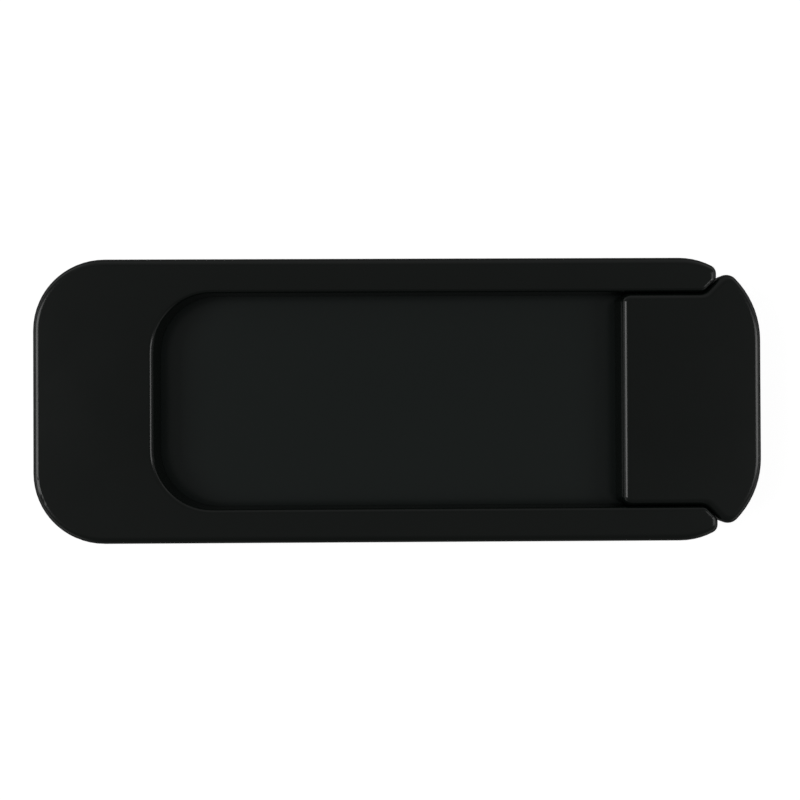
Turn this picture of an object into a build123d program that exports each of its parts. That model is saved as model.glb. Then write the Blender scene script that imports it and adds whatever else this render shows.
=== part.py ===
"""Webcam cover slider: a shutter with a thumb head that slides in a stick-on frame.

The part lies on its back: +Z points away from the screen bezel that it is stuck to, towards the user,
+X runs along the slide towards the thumb head, and the origin is the centre of the closed outline on the
adhesive's back face. All sizes are in millimetres, and the slider is modelled closed.
"""

import os

from build123d import *

# Outline of the frame and of the thumb head, seen from the front
overall_length = 41.0  # frame's plain end to the outer end of the thumb head
frame_width = 16.0
frame_corner_radius = 4.0
head_projection = 0.6  # thumb head past the end of the frame's rounded outline
head_length = 3.24  # shoulders of the thumb head to its outer end
head_flat = 6.67  # straight stretch of the head's outer end
head_corner_radius = 5.0
head_tip_radius = 0.68
thumb_length = 7.9  # inner edge of the thumb block to the head's outer end

# Recess, rails and slot of the frame
end_block_length = 6.77  # plain end of the frame to the recess
recess_corner_radius = 3.3
rail_width = 1.95  # of the lips that show beside the recess
side_wall = 1.05  # left outside the slot, under the lips
rail_reach = 0.76  # blunt tips of the rails past the head's shoulders
rail_tip_radius = 0.5
mouth_corner_radius = 0.5  # where the rails turn into the mouth, and at the roots of the head

# Thicknesses, from the bezel up
tape_thickness = 0.25
floor_thickness = 0.6
panel_thickness = 0.6
lip_thickness = 1.65
head_lift = 0.6  # underside of the thumb head above the bezel

# Camera window in the frame's floor
window_length = 9.0
window_width = 8.0
window_corner_radius = 1.5
window_chamfer = 0.25
window_margin = 1.1  # from the recess's end to the window
window_reveal = 0.9  # how far the open panel clears the window

# Shutter panel, and the stop under it that keeps it in the frame
panel_tuck = 1.0  # reach of the closed panel under the end block
panel_corner_radius = 1.0
stop_length = 1.2
stop_width = 6.0
stop_flat = 0.4  # level foot of the stop, after its ramp
stop_height = 0.25
stop_land = 1.4  # floor left between the stop's groove and the frame's mouth
groove_depth = 0.32
lead_in = 0.3  # ramp on the floor's end, where the stop is pushed in

# Adhesive tape
tape_inset = 0.6
tape_window_margin = 0.5

# Rounded edges
edge_radius = 0.45  # around the tops of the frame and of the thumb
recess_edge_radius = 0.25  # around the tops of the recess and of the mouth
corner_land = 0.05  # radius that the thumb block's corners keep on its flat top
foot_radius = 0.15

# Clearances
slide_clearance = 0.05  # above and below the panel
side_clearance = 0.1  # beside the panel
thumb_gap = 0.05  # between the thumb block and the rails
mouth_gap = 0.06  # between the thumb head and the frame's mouth
end_clearance = 0.05  # at the panel's end, and at the stop when open
groove_clearance = 0.1  # beside and behind the stop

# Levels above the bezel
frame_bottom = tape_thickness
floor_top = frame_bottom + floor_thickness
panel_bottom = floor_top + slide_clearance
panel_top = panel_bottom + panel_thickness
lip_bottom = panel_top + slide_clearance
frame_top = lip_bottom + lip_thickness
stop_bottom = panel_bottom - stop_height

# Places along the slide
plain_end = -overall_length / 2
head_end = overall_length / 2
frame_length = overall_length - head_projection
shoulder = head_end - head_length
rail_end = shoulder + rail_reach
thumb_edge = head_end - thumb_length
recess_end = plain_end + end_block_length
panel_end = recess_end - panel_tuck
slot_end = panel_end - end_clearance
window_near = recess_end + window_margin
window_far = window_near + window_length
window_middle = (window_near + window_far) / 2
travel = window_far + window_reveal - panel_end
groove_far = shoulder - stop_land
stop_far = groove_far - end_clearance - travel
stop_near = stop_far - stop_length
groove_near = stop_near - groove_clearance

# Half widths across the slide
recess_half = frame_width / 2 - rail_width
slot_half = frame_width / 2 - side_wall
panel_half = slot_half - side_clearance
thumb_half = recess_half - thumb_gap
groove_half = stop_width / 2 + groove_clearance

# The head's flanks run beside the rail ends, so they start where that line meets the thumb block's side,
# and the panel's edges run on until they meet the flanks
flank_start = shoulder - thumb_gap + mouth_gap * 2**0.5
runner_end = flank_start + panel_half - thumb_half

# The thumb block's corners stay rounder in plan than the top edge that follows them
thumb_corner_radius = edge_radius + corner_land


# The frame's plan: a rounded rectangle whose far end opens in 45 degree flanks between blunt rail tips
with BuildSketch() as frame_plan:
    with Locations((plain_end, 0)):
        RectangleRounded(frame_length, frame_width, frame_corner_radius, align=(Align.MIN, Align.CENTER))
    with BuildLine():
        Polyline(
            (shoulder, recess_half),
            (shoulder + frame_width, recess_half + frame_width),
            (shoulder + frame_width, -recess_half - frame_width),
            (shoulder, -recess_half),
            close=True,
        )
    make_face(mode=Mode.SUBTRACT)
    with Locations((rail_end, 0)):
        Rectangle(frame_length, frame_width, align=(Align.MIN, Align.CENTER), mode=Mode.SUBTRACT)
    tip_corners = frame_plan.vertices().group_by(Axis.X)[-1].sort_by(Axis.Y)
    fillet([tip_corners[0], tip_corners[-1]], rail_tip_radius)

# The slot that the panel runs in, open at the mouth
with BuildSketch() as slot_plan:
    with Locations((slot_end, 0)):
        Rectangle(overall_length, 2 * slot_half, align=(Align.MIN, Align.CENTER))
    fillet(slot_plan.vertices().group_by(Axis.X)[0], panel_corner_radius)

# The recess that shows the panel, open at the mouth
with BuildSketch() as recess_plan:
    with Locations((recess_end, 0)):
        Rectangle(overall_length, 2 * recess_half, align=(Align.MIN, Align.CENTER))
    fillet(recess_plan.vertices().group_by(Axis.X)[0], recess_corner_radius)

# The lips: the frame's plan less the recess, with the mouth's corners rounded
with BuildSketch() as lip_plan:
    add(frame_plan.sketch)
    add(recess_plan.sketch, mode=Mode.SUBTRACT)
    for side in (-recess_half, recess_half):
        fillet(lip_plan.vertices().sort_by_distance((shoulder, side))[0], mouth_corner_radius)

# The head's plan: a rounded outer end, and flanks along the rail ends
with BuildSketch() as head_plan:
    with Locations((head_end, 0)):
        RectangleRounded(
            overall_length,
            head_flat + 2 * head_corner_radius,
            head_corner_radius,
            align=(Align.MAX, Align.CENTER),
        )
    with BuildLine():
        Polyline(
            (flank_start, thumb_half),
            (flank_start + frame_width, thumb_half + frame_width),
            (flank_start + frame_width, -thumb_half - frame_width),
            (flank_start, -thumb_half),
            close=True,
        )
    make_face(mode=Mode.INTERSECT)
    fillet(head_plan.vertices().group_by(Axis.X)[1], head_tip_radius)

# The thumb's plan: the head, and a block between the rails that carries it
with BuildSketch() as thumb_plan:
    add(head_plan.sketch)
    with Locations((thumb_edge, 0)):
        Rectangle(flank_start - thumb_edge, 2 * thumb_half, align=(Align.MIN, Align.CENTER))
    fillet(thumb_plan.vertices().group_by(Axis.X)[1], mouth_corner_radius)
    fillet(thumb_plan.vertices().group_by(Axis.X)[0], thumb_corner_radius)


# Frame: floor, side walls beside the slot, and lips over it, moulded as one
with BuildPart() as base_frame:
    with BuildSketch(Plane.XY.offset(frame_bottom)):
        add(frame_plan.sketch)
    extrude(amount=floor_thickness)
    with BuildSketch(Plane.XY.offset(floor_top)):
        add(frame_plan.sketch)
        add(slot_plan.sketch, mode=Mode.SUBTRACT)
    extrude(amount=lip_bottom - floor_top)
    with BuildSketch(Plane.XY.offset(lip_bottom)):
        add(lip_plan.sketch)
    extrude(amount=lip_thickness)
    fillet(base_frame.faces().sort_by(Axis.Z)[0].outer_wire().edges(), foot_radius)

    # Top edges: a rounding runs on along every edge that meets it smoothly, so the first of these goes round
    # the outside from one rail's tip to the other's, and the second goes round the recess and the mouth
    outer_edges = base_frame.faces().sort_by(Axis.Z)[-1].edges()
    fillet(outer_edges.sort_by_distance((plain_end, 0, frame_top))[0], edge_radius)
    inner_edges = base_frame.faces().sort_by(Axis.Z)[-1].edges()
    fillet(inner_edges.sort_by_distance((recess_end, 0, frame_top))[0], recess_edge_radius)

    # Camera window, chamfered where the panel slides over it
    with BuildSketch(Plane.XY.offset(floor_top)):
        with Locations((window_middle, 0)):
            RectangleRounded(window_length, window_width, window_corner_radius)
    extrude(amount=-floor_thickness, mode=Mode.SUBTRACT)
    with BuildSketch(Plane.XY.offset(floor_top)):
        with Locations((window_middle, 0)):
            RectangleRounded(
                window_length + 2 * window_chamfer,
                window_width + 2 * window_chamfer,
                window_corner_radius + window_chamfer,
            )
    extrude(amount=-window_chamfer, taper=45, mode=Mode.SUBTRACT)

    # Groove that the stop runs in, and the ramp that lets the stop in over the floor's end
    with BuildSketch(Plane.XY.offset(floor_top)):
        with Locations((groove_near, 0)):
            Rectangle(groove_far - groove_near, 2 * groove_half, align=(Align.MIN, Align.CENTER))
    extrude(amount=-groove_depth, mode=Mode.SUBTRACT)
    with BuildSketch(Plane.XZ):
        with BuildLine():
            Polyline(
                (shoulder - 2 * lead_in, floor_top),
                (shoulder, floor_top - lead_in),
                (shoulder, floor_top),
                close=True,
            )
        make_face()
    extrude(amount=groove_half, both=True, mode=Mode.SUBTRACT)

# Slider: shutter panel, thumb block, flared head and stop, moulded as one
with BuildPart() as slider:
    with BuildSketch(Plane.XY.offset(panel_bottom)) as panel_plan:
        with Locations((panel_end, 0)):
            Rectangle(runner_end - panel_end, 2 * panel_half, align=(Align.MIN, Align.CENTER))
        fillet(panel_plan.vertices().group_by(Axis.X)[0], panel_corner_radius)
    extrude(amount=panel_thickness)
    with BuildSketch(Plane.XY.offset(panel_bottom)):
        add(thumb_plan.sketch)
    extrude(amount=frame_top - panel_bottom)
    fillet(slider.faces().sort_by(Axis.Z)[-1].outer_wire().edges(), edge_radius)

    # Foot of the head, outside the frame's mouth
    with BuildSketch(Plane.XY.offset(head_lift)):
        add(head_plan.sketch)
        with Locations((shoulder + mouth_gap, 0)):
            Rectangle(overall_length, frame_width, align=(Align.MAX, Align.CENTER), mode=Mode.SUBTRACT)
    extrude(amount=panel_bottom - head_lift)
    fillet(slider.faces().sort_by(Axis.Z)[0].outer_wire().edges(), foot_radius)

    # Stop under the panel: a ramp on the side that goes in first, and an upright face that holds
    with BuildSketch(Plane.XZ):
        with BuildLine():
            Polyline(
                (stop_near, panel_bottom),
                (stop_far - stop_flat, stop_bottom),
                (stop_far, stop_bottom),
                (stop_far, panel_bottom),
                close=True,
            )
        make_face()
    extrude(amount=stop_width / 2, both=True)

# Double-sided tape on the frame's back, cut out around the camera window
with BuildPart() as adhesive_tape:
    with BuildSketch():
        with Locations((plain_end + tape_inset, 0)):
            RectangleRounded(
                shoulder - plain_end - 2 * tape_inset,
                frame_width - 2 * tape_inset,
                frame_corner_radius - tape_inset,
                align=(Align.MIN, Align.CENTER),
            )
        with Locations((window_middle, 0)):
            RectangleRounded(
                window_length + 2 * tape_window_margin,
                window_width + 2 * tape_window_margin,
                window_corner_radius + tape_window_margin,
                mode=Mode.SUBTRACT,
            )
    extrude(amount=tape_thickness)

base_frame.part.label = "base_frame"
slider.part.label = "slider"
adhesive_tape.part.label = "adhesive_tape"

os.makedirs("parts", exist_ok=True)
export_step(base_frame.part, "parts/base_frame.step")
export_step(slider.part, "parts/slider.step")
export_step(adhesive_tape.part, "parts/adhesive_tape.step")
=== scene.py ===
# %% [markdown]
# A webcam cover slider, from solids to a picture.
#
# The object is a small shutter that is stuck over a laptop's camera. A black frame, as long as the last
# two joints of a finger, has a recess with a window in its floor. A slider closes the window: its panel
# fills the recess, and its flared thumb head closes the open end of the frame. Underneath is a die-cut
# piece of double-sided tape.
#
# All three pieces are hard mouldings or plain tape, so their shapes are finished in the part's own model
# and come from there, in metres, at their real place. Nothing below moves or reshapes them. What is left
# is what the eye sees on such a plain black thing: how the plastic takes the light, and the light itself.

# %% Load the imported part
import math

import bmesh
import bpy
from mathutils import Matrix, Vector


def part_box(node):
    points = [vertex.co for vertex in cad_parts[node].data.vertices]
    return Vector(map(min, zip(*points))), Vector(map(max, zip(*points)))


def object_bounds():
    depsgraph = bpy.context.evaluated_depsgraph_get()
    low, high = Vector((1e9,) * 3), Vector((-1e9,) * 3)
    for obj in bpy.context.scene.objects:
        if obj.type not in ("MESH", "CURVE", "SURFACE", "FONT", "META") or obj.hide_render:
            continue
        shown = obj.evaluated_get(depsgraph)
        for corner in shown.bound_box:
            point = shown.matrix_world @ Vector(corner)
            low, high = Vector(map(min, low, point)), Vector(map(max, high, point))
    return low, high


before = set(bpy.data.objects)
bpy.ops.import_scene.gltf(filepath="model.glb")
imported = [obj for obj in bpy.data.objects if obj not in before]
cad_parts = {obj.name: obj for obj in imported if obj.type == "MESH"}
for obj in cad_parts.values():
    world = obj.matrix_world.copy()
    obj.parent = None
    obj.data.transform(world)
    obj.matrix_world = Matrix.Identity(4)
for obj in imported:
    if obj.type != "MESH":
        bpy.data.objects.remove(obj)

mm = 0.001
cad_low, cad_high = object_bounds()
print("box in mm:", [round(v / mm, 2) for v in cad_low], "to", [round(v / mm, 2) for v in cad_high])
print("pieces:", sorted(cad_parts))

# %% [markdown]
# Colours. A colour that is picked from a picture is an sRGB value, usually written as hex, but Blender's
# shaders count in linear light, where half as bright really is half the number. The step from one to the
# other could be left to the colour picker in the editor. In a script, one function does it, so that every
# colour below is written as the eye would name it.

# %% Turn sRGB hex into linear colour
def linear(hex_colour):
    """Gives the linear RGBA of a colour such as #202220, by the formula of the sRGB standard."""
    channels = [int(hex_colour[start : start + 2], 16) / 255 for start in (1, 3, 5)]
    light = [c / 12.92 if c <= 0.04045 else ((c + 0.055) / 1.055) ** 2.4 for c in channels]
    return (*light, 1.0)


print("mid grey #808080 is", round(linear("#808080")[0], 3), "in linear light")

# %% [markdown]
# Nodes. A material is a small network, and each node in it takes three steps: make it, set it, and link
# it to the nodes before it. Written out, that is many lines that say little. One function takes all three
# steps at once, and then a material below reads from top to bottom, in the order in which light and
# colour are worked out.

# %% Add a node, start a material, put it on a piece
def add_node(tree, kind, settings=None, values=None, links=None):
    """Makes a node, sets its properties and input values, and links its inputs to other nodes' outputs."""
    node = tree.nodes.new(kind)
    for name, value in (settings or {}).items():
        setattr(node, name, value)
    for socket, value in (values or {}).items():
        node.inputs[socket].default_value = value
    for socket, output in (links or {}).items():
        tree.links.new(output, node.inputs[socket])
    return node


def new_material(name):
    """Makes a material with an empty network."""
    material = bpy.data.materials.new(name)
    material.use_nodes = True
    material.node_tree.nodes.clear()
    return material


def dress(piece, material):
    """Puts one material on the whole of a piece."""
    piece.data.materials.clear()
    piece.data.materials.append(material)
    print(piece.name, "is", material.name)


# %% [markdown]
# The plastic. Both mouldings are black ABS. The steel tool was finished by spark erosion, which leaves it
# evenly pitted, and the plastic copies the pits as a satin grain about a thousandth of a millimetre deep.
# So the eye sees no mirror image in it, only soft, narrow streaks of light along the rounded edges.
#
# A Principled shader with one colour and one roughness would already look black and satin, but also like
# paint on a model. Four things make it a moulding: a grain that bends the normals; the hairline where the
# two halves of the tool met; edges that are a little glossier, because the steel was polished there and
# fingers go on polishing; and a slow drift in colour and gloss, from the way the melt filled the tool.
# All four are worked out from the piece's own coordinates and normals, at real sizes. Only the grain is
# drawn coarser than it is: its real spacing is about 0.05 mm, finer than a pixel of the picture, and it
# is drawn about twice as wide, or it would not show at all.

# %% Bend the normals by the grain and the parting line
grain_spacing = 0.11 * mm
grain_depth = 0.0008 * mm
parting_width = 0.06 * mm
parting_step = 0.006 * mm


def moulded_surface(tree, place, parting_height):
    """Gives normals with a fine grain, and a hairline round the walls at one height."""
    grain = add_node(
        tree,
        "ShaderNodeTexNoise",
        values={"Scale": 1 / grain_spacing, "Detail": 2.0, "Roughness": 0.6},
        links={"Vector": place.outputs["Object"]},
    )
    grained = add_node(
        tree,
        "ShaderNodeBump",
        values={"Distance": grain_depth},
        links={"Height": grain.outputs["Fac"]},
    )
    spot = add_node(tree, "ShaderNodeSeparateXYZ", links={"Vector": place.outputs["Object"]})
    hairline = add_node(
        tree,
        "ShaderNodeMath",
        settings={"operation": "COMPARE"},
        values={1: parting_height, 2: parting_width / 2},
        links={0: spot.outputs["Z"]},
    )
    lined = add_node(
        tree,
        "ShaderNodeBump",
        values={"Distance": parting_step},
        links={"Height": hairline.outputs["Value"], "Normal": grained.outputs["Normal"]},
    )
    print("parting line is", round(parting_height / mm, 2), "mm above the table")
    return lined.outputs["Normal"]


# %% Find the rounded edges
def rounded_edges(tree, place):
    """Gives 0 on level and upright faces, and up to 1 on the rounding between them."""
    facing = add_node(tree, "ShaderNodeSeparateXYZ", links={"Vector": place.outputs["Normal"]})
    lean = add_node(
        tree,
        "ShaderNodeMath",
        settings={"operation": "SUBTRACT"},
        values={0: 1.0},
        links={1: facing.outputs["Z"]},
    )
    both = add_node(
        tree,
        "ShaderNodeMath",
        settings={"operation": "MULTIPLY"},
        links={0: facing.outputs["Z"], 1: lean.outputs["Value"]},
    )
    # The product is at its highest, a quarter, where the normal's Z is one half
    edge = add_node(
        tree,
        "ShaderNodeMapRange",
        values={"From Max": 0.25},
        links={"Value": both.outputs["Value"]},
    )
    return edge.outputs["Result"]


# %% Let the black and its gloss drift
abs_dark = linear("#0e1411")
abs_light = linear("#111714")
abs_smooth = 0.18
abs_dull = 0.22
edge_polish = 0.03
flow_patch = 7.0 * mm
# Most of what a noise node gives lies between these two
noise_low = 0.3
noise_high = 0.7


def drifting_black(tree, place):
    """Gives the colour and the roughness of the plastic at each place."""
    flow = add_node(
        tree,
        "ShaderNodeTexNoise",
        values={"Scale": 1 / flow_patch, "Detail": 3.0, "Roughness": 0.55},
        links={"Vector": place.outputs["Object"]},
    )
    colour = add_node(
        tree,
        "ShaderNodeMix",
        settings={"data_type": "RGBA"},
        values={"A": abs_dark, "B": abs_light},
        links={"Factor": flow.outputs["Fac"]},
    )
    gloss = add_node(
        tree,
        "ShaderNodeMapRange",
        values={"From Min": noise_low, "From Max": noise_high, "To Min": abs_smooth, "To Max": abs_dull},
        links={"Value": flow.outputs["Fac"]},
    )
    roughness = add_node(
        tree,
        "ShaderNodeMath",
        settings={"operation": "MULTIPLY_ADD"},
        values={1: -edge_polish},
        links={0: rounded_edges(tree, place), 2: gloss.outputs["Result"]},
    )
    return colour.outputs["Result"], roughness.outputs["Value"]


print("black and gloss drift over patches of", round(flow_patch / mm, 1), "mm")

# %% Put the satin ABS together
abs_ior = 1.54


def finish_abs(tree, place, colour, roughness, parting_height):
    """Joins a colour, a roughness and the moulded surface in one shader."""
    shader = add_node(
        tree,
        "ShaderNodeBsdfPrincipled",
        values={"IOR": abs_ior},
        links={
            "Base Color": colour,
            "Roughness": roughness,
            "Normal": moulded_surface(tree, place, parting_height),
        },
    )
    add_node(tree, "ShaderNodeOutputMaterial", links={"Surface": shader.outputs["BSDF"]})
    print("its network has", len(tree.nodes), "nodes")


# %% [markdown]
# The frame. It is the larger moulding: the plain block at one end, the two rails, and the floor under the
# panel. It could be modelled again here, from a box with bevelled edges, but the model's own mesh already
# has every radius and fits the slider to a few hundredths of a millimetre. So it keeps that mesh and gets
# only the plastic. Its tool opened at the foot of the outer wall, and the parting line runs there.

# %% Dress the frame
frame_parting_rise = 0.15 * mm
frame_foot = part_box("base_frame")[0].z
frame_plastic = new_material("satin_black_abs_frame")
tree = frame_plastic.node_tree
place = add_node(tree, "ShaderNodeTexCoord")
frame_colour, frame_roughness = drifting_black(tree, place)
finish_abs(tree, place, frame_colour, frame_roughness, frame_foot + frame_parting_rise)
dress(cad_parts["base_frame"], frame_plastic)

# %% [markdown]
# The slider. It is the same plastic as the frame, from a tool of its own. Its panel is the large dark
# face in the middle of the picture. Its grain is coarser, so it is duller. It lies deep in the recess,
# where less light reaches it, so its colour is painted slightly paler and greyer than the frame's:
# painted light that makes up for the recess's shade, so that it looks no darker than the frame around it.
#
# The panel could be a second material on its own faces, but the mesh is one solid and stays as it is. So
# the material looks at the place instead: the panel is what lies low, and ends where the thumb block
# begins. Both limits are measured on the mesh. The panel's face is the highest point of the slider on the
# window's side of the cover, and the block begins at the foremost point of the slider's top.

# %% Measure the slider's panel
level_tolerance = 0.01 * mm
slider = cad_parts["slider"]
corners = [vertex.co for vertex in slider.data.vertices]
panel_face = max(corner.z for corner in corners if corner.x < 0)
block_start = min(corner.x for corner in corners if corner.z > cad_high.z - level_tolerance)
print("panel face is", round((cad_high.z - panel_face) / mm, 2), "mm below the top")
print("thumb block begins at x =", round(block_start / mm, 2), "mm")

# %% Dress the slider
# Painted light: the panel's black is paler than the frame's, to make up for the shade in the recess
panel_paler_for_recess_shade = linear("#1f2624")
panel_coarseness = 0.05
panel_margin = 0.05 * mm
head_parting_rise = 0.3 * mm
head_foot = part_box("slider")[0].z
slider_plastic = new_material("satin_black_abs_slider")
tree = slider_plastic.node_tree
place = add_node(tree, "ShaderNodeTexCoord")
thumb_colour, thumb_roughness = drifting_black(tree, place)
spot = add_node(tree, "ShaderNodeSeparateXYZ", links={"Vector": place.outputs["Object"]})
at_panel_height = add_node(
    tree,
    "ShaderNodeMath",
    settings={"operation": "LESS_THAN"},
    values={1: panel_face + panel_margin},
    links={0: spot.outputs["Z"]},
)
before_block = add_node(
    tree,
    "ShaderNodeMath",
    settings={"operation": "LESS_THAN"},
    values={1: block_start},
    links={0: spot.outputs["X"]},
)
on_panel = add_node(
    tree,
    "ShaderNodeMath",
    settings={"operation": "MULTIPLY"},
    links={0: at_panel_height.outputs["Value"], 1: before_block.outputs["Value"]},
)
# On the panel the paler black stands in for the light that the recess keeps off it: painted light
slider_colour = add_node(
    tree,
    "ShaderNodeMix",
    settings={"data_type": "RGBA"},
    values={"B": panel_paler_for_recess_shade},
    links={"Factor": on_panel.outputs["Value"], "A": thumb_colour},
)
slider_roughness = add_node(
    tree,
    "ShaderNodeMath",
    settings={"operation": "MULTIPLY_ADD"},
    values={1: panel_coarseness},
    links={0: on_panel.outputs["Value"], 2: thumb_roughness},
)
finish_abs(
    tree,
    place,
    slider_colour.outputs["Result"],
    slider_roughness.outputs["Value"],
    head_foot + head_parting_rise,
)
dress(slider, slider_plastic)

# %% [markdown]
# The tape. It is a black polyester film with acrylic adhesive on both sides, cut to the frame's outline
# by a die. Only its edge shows, as a thin dark line under the frame, and around the window when the
# slider is open. One flat black would do for so thin an edge, but not for the back of a cover that is
# peeled off. Adhesive is laid on by a bar while the film runs past, and that leaves faint streaks along
# the roll, glossy beside dull, some 0.4 mm apart. A noise that is stretched along the cover gives them,
# in colour and in gloss.

# %% Dress the tape
streak_spacing = 0.4 * mm
streak_length = 15.0 * mm
film_dark = linear("#121213")
film_light = linear("#1b1b1c")
film_smooth = 0.22
film_dull = 0.42
acrylic_ior = 1.47
tape_film = new_material("black_film_tape")
tree = tape_film.node_tree
place = add_node(tree, "ShaderNodeTexCoord")
along_roll = add_node(
    tree,
    "ShaderNodeMapping",
    values={"Scale": (1 / streak_length, 1 / streak_spacing, 1 / streak_spacing)},
    links={"Vector": place.outputs["Object"]},
)
streaks = add_node(
    tree,
    "ShaderNodeTexNoise",
    values={"Scale": 1.0, "Detail": 3.0},
    links={"Vector": along_roll.outputs["Vector"]},
)
film_colour = add_node(
    tree,
    "ShaderNodeMix",
    settings={"data_type": "RGBA"},
    values={"A": film_dark, "B": film_light},
    links={"Factor": streaks.outputs["Fac"]},
)
film_gloss = add_node(
    tree,
    "ShaderNodeMapRange",
    values={"From Min": noise_low, "From Max": noise_high, "To Min": film_smooth, "To Max": film_dull},
    links={"Value": streaks.outputs["Fac"]},
)
film = add_node(
    tree,
    "ShaderNodeBsdfPrincipled",
    values={"IOR": acrylic_ior},
    links={"Base Color": film_colour.outputs["Result"], "Roughness": film_gloss.outputs["Result"]},
)
add_node(tree, "ShaderNodeOutputMaterial", links={"Surface": film.outputs["BSDF"]})
dress(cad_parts["adhesive_tape"], tape_film)

# %% [markdown]
# The floor. Small black products are photographed on a light table, a sheet of opal acrylic that is lit
# from below, because the ground then comes out white and every dark edge stands clear of it. A real light
# table would also light the underside of the object and pour light into its gaps, and in this picture
# those stay dark. So the sheet glows for the camera alone, and everything else sees it as plain grey
# acrylic, which keeps the reflections in the walls weak. To the camera the acrylic is also paler, so that
# the cover's faint shadow shows at its foot.

# %% Lay the table
table_size = 3.0
table_mesh = bpy.data.meshes.new("light_table")
table_shape = bmesh.new()
bmesh.ops.create_grid(table_shape, x_segments=1, y_segments=1, size=table_size / 2)
table_shape.to_mesh(table_mesh)
table_shape.free()
table = bpy.data.objects.new("light_table", table_mesh)
bpy.context.scene.collection.objects.link(table)
print("table is", table_size, "m wide")

# %% Dress the table
table_glow = 0.875
table_grey = linear("#989898")
table_pale = linear("#c4c4c4")
table_roughness = 0.8
opal = new_material("opal_acrylic")
tree = opal.node_tree
ray = add_node(tree, "ShaderNodeLightPath")
glow = add_node(
    tree,
    "ShaderNodeMath",
    settings={"operation": "MULTIPLY"},
    values={1: table_glow},
    links={0: ray.outputs["Is Camera Ray"]},
)
opal_colour = add_node(
    tree,
    "ShaderNodeMix",
    settings={"data_type": "RGBA"},
    values={"A": table_grey, "B": table_pale},
    links={"Factor": ray.outputs["Is Camera Ray"]},
)
sheet = add_node(
    tree,
    "ShaderNodeBsdfPrincipled",
    values={"Roughness": table_roughness, "Emission Color": linear("#ffffff")},
    links={"Base Color": opal_colour.outputs["Result"], "Emission Strength": glow.outputs["Value"]},
)
add_node(tree, "ShaderNodeOutputMaterial", links={"Surface": sheet.outputs["BSDF"]})
dress(table, opal)

# %% [markdown]
# The light. A black satin object shows hardly any colour of its own. What the eye reads as its shape is
# the reflection of the lamps in its edges. In the picture those are thin bright lines on every edge that
# faces left or right, and none on the long edges, so there is one softbox at each end, low enough for the
# rounded edges to mirror it and the level faces to miss it. How long a softbox is across the cover
# decides how far its line follows an edge round a corner: the line fades out there. The left one is
# longer and a little brighter.

# %% Softboxes at both ends
softbox_distance = 0.25
softbox_tilt = math.radians(50.5)
softbox_height = 0.105


def add_softbox(name, side, length, radiance):
    """Hangs a rectangular lamp at one end of the cover, facing its middle."""
    light = bpy.data.lights.new(name, "AREA")
    light.shape = "RECTANGLE"
    light.size = softbox_height
    light.size_y = length
    # The power of an area lamp is its radiance times pi times its area
    light.energy = radiance * math.pi * softbox_height * length
    lamp = bpy.data.objects.new(name, light)
    lamp.location = Vector((side * math.sin(softbox_tilt), 0, math.cos(softbox_tilt))) * softbox_distance
    lamp.rotation_euler = (0, side * softbox_tilt, 0)
    lamp.visible_camera = False
    bpy.context.scene.collection.objects.link(lamp)
    print(name, "gives", round(light.energy, 3), "W")


add_softbox("softbox_left", -1, length=0.125, radiance=2.6)
add_softbox("softbox_right", 1, length=0.075, radiance=2.4)

# %% [markdown]
# The room. Between the softboxes, the level faces mirror the studio itself, and it sets how dark the
# blacks are. It is dim grey overhead, a little lighter above the rails, darker towards the front and
# lighter at the back, which draws the faint pale line along the edges that face the back. One colour ramp
# on the direction's Y gives that. Low down, to the left and right, are pale walls: from above they hardly
# show, but seen from the side, the level faces mirror them and read as satin. The camera sees plain white
# instead, so that the background has no edge where the table ends.

# %% Shade the room from front to back
# Places from the front, at 0, to the back, at 1, and the radiance of the room there
room_shades = (
    (0.0, 0.08),
    (0.27, 0.115),
    (0.42, 0.17),
    (0.46, 0.12),
    (0.54, 0.12),
    (0.58, 0.155),
    (0.7, 0.12),
    (0.9, 0.24),
)
world = bpy.data.worlds.new("grey_room")
bpy.context.scene.world = world
world.use_nodes = True
tree = world.node_tree
tree.nodes.clear()
direction = add_node(tree, "ShaderNodeTexCoord")
towards = add_node(tree, "ShaderNodeSeparateXYZ", links={"Vector": direction.outputs["Generated"]})
front_to_back = add_node(
    tree,
    "ShaderNodeMapRange",
    values={"From Min": -1.0},
    links={"Value": towards.outputs["Y"]},
)
shade = add_node(tree, "ShaderNodeValToRGB", links={"Fac": front_to_back.outputs["Result"]})
stops = shade.color_ramp.elements
while len(stops) < len(room_shades):
    stops.new(1.0)
for stop, (position, radiance) in zip(stops, room_shades):
    stop.position = position
    stop.color = (radiance, radiance, radiance, 1.0)
print("room shades from front to back:", [radiance for _, radiance in room_shades])

# %% Pale walls at both sides
wall_radiance = 0.4
# A direction begins to meet a wall where its Z is under wall_top, and meets all of it under wall_foot
wall_top = 0.45
wall_foot = 0.1
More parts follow.
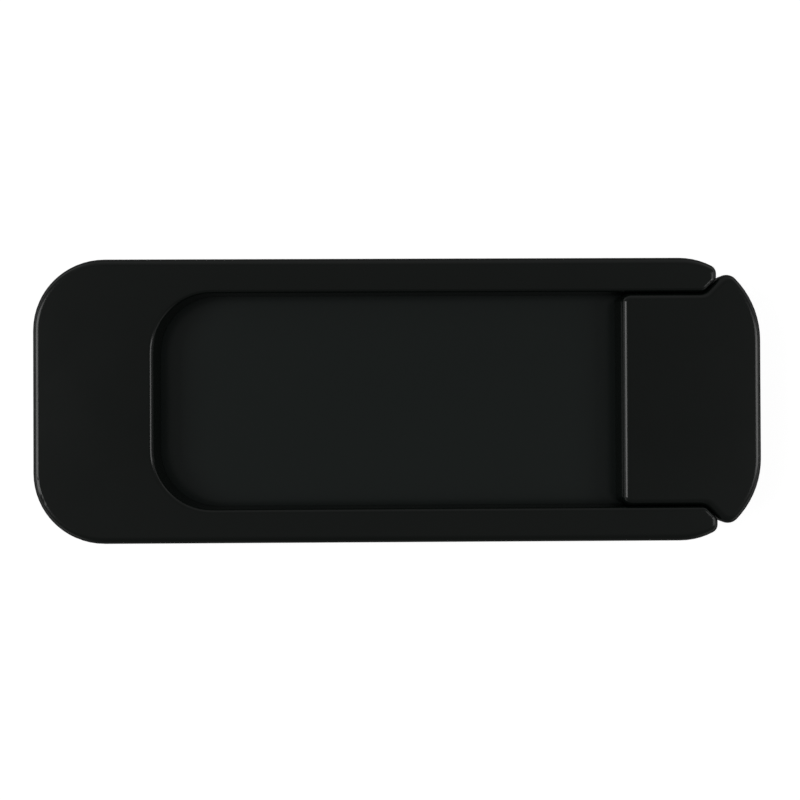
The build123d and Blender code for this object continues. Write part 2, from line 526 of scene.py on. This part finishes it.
# To either side it is the same, between these sizes of its X
wall_edge = 0.4
wall_middle = 0.7
low_down = add_node(
    tree,
    "ShaderNodeMapRange",
    settings={"interpolation_type": "SMOOTHSTEP"},
    values={"From Min": wall_top, "From Max": wall_foot, "To Max": wall_radiance},
    links={"Value": towards.outputs["Z"]},
)
sideways = add_node(
    tree,
    "ShaderNodeMath",
    settings={"operation": "ABSOLUTE"},
    links={0: towards.outputs["X"]},
)
beside = add_node(
    tree,
    "ShaderNodeMapRange",
    settings={"interpolation_type": "SMOOTHSTEP"},
    values={"From Min": wall_edge, "From Max": wall_middle},
    links={"Value": sideways.outputs["Value"]},
)
lit = add_node(
    tree,
    "ShaderNodeMath",
    settings={"operation": "MULTIPLY_ADD"},
    links={0: low_down.outputs["Result"], 1: beside.outputs["Result"], 2: shade.outputs["Color"]},
)
print("walls add", wall_radiance, "to the room's shades")

# %% White background for the camera
room = add_node(tree, "ShaderNodeBackground", links={"Color": lit.outputs["Value"]})
backdrop = add_node(tree, "ShaderNodeBackground", values={"Color": linear("#fdfdfd")})
ray = add_node(tree, "ShaderNodeLightPath")
seen = add_node(
    tree,
    "ShaderNodeMixShader",
    links={
        0: ray.outputs["Is Camera Ray"],
        1: room.outputs["Background"],
        2: backdrop.outputs["Background"],
    },
)
add_node(tree, "ShaderNodeOutputWorld", links={"Surface": seen.outputs["Shader"]})
# The Standard view shows light as it is, so that white stays white and black stays black
bpy.context.scene.view_settings.view_transform = "Standard"
print("view transform is", bpy.context.scene.view_settings.view_transform)

# %% [markdown]
# The camera. The picture is taken from straight above, and from close by: the walls at both ends of the
# recess show, which they would not from far away. How much of them shows, against the depth of the
# recess, gives the distance, and the size of the outline in the picture then gives the lens. The small
# shift and turns are what is left when the outline's corners are matched: nobody holds a camera perfectly
# level.

# %% Camera above the cover
camera_height = 45.99 * mm
camera_x = -0.313 * mm
camera_y = -0.211 * mm
# Degrees about X, Y and Z
camera_turns = (0.283, -0.503, -0.267)
camera_lens = 37.0
nearest_seen = 1.0 * mm
camera_data = bpy.data.cameras.new("camera")
camera_data.lens = camera_lens
camera_data.clip_start = nearest_seen
camera = bpy.data.objects.new("camera", camera_data)
camera.location = (camera_x, camera_y, cad_high.z + camera_height)
camera.rotation_euler = [math.radians(turn) for turn in camera_turns]
bpy.context.scene.collection.objects.link(camera)
bpy.context.scene.camera = camera
print("camera stands", round(camera_height / mm, 1), "mm above the cover's top")
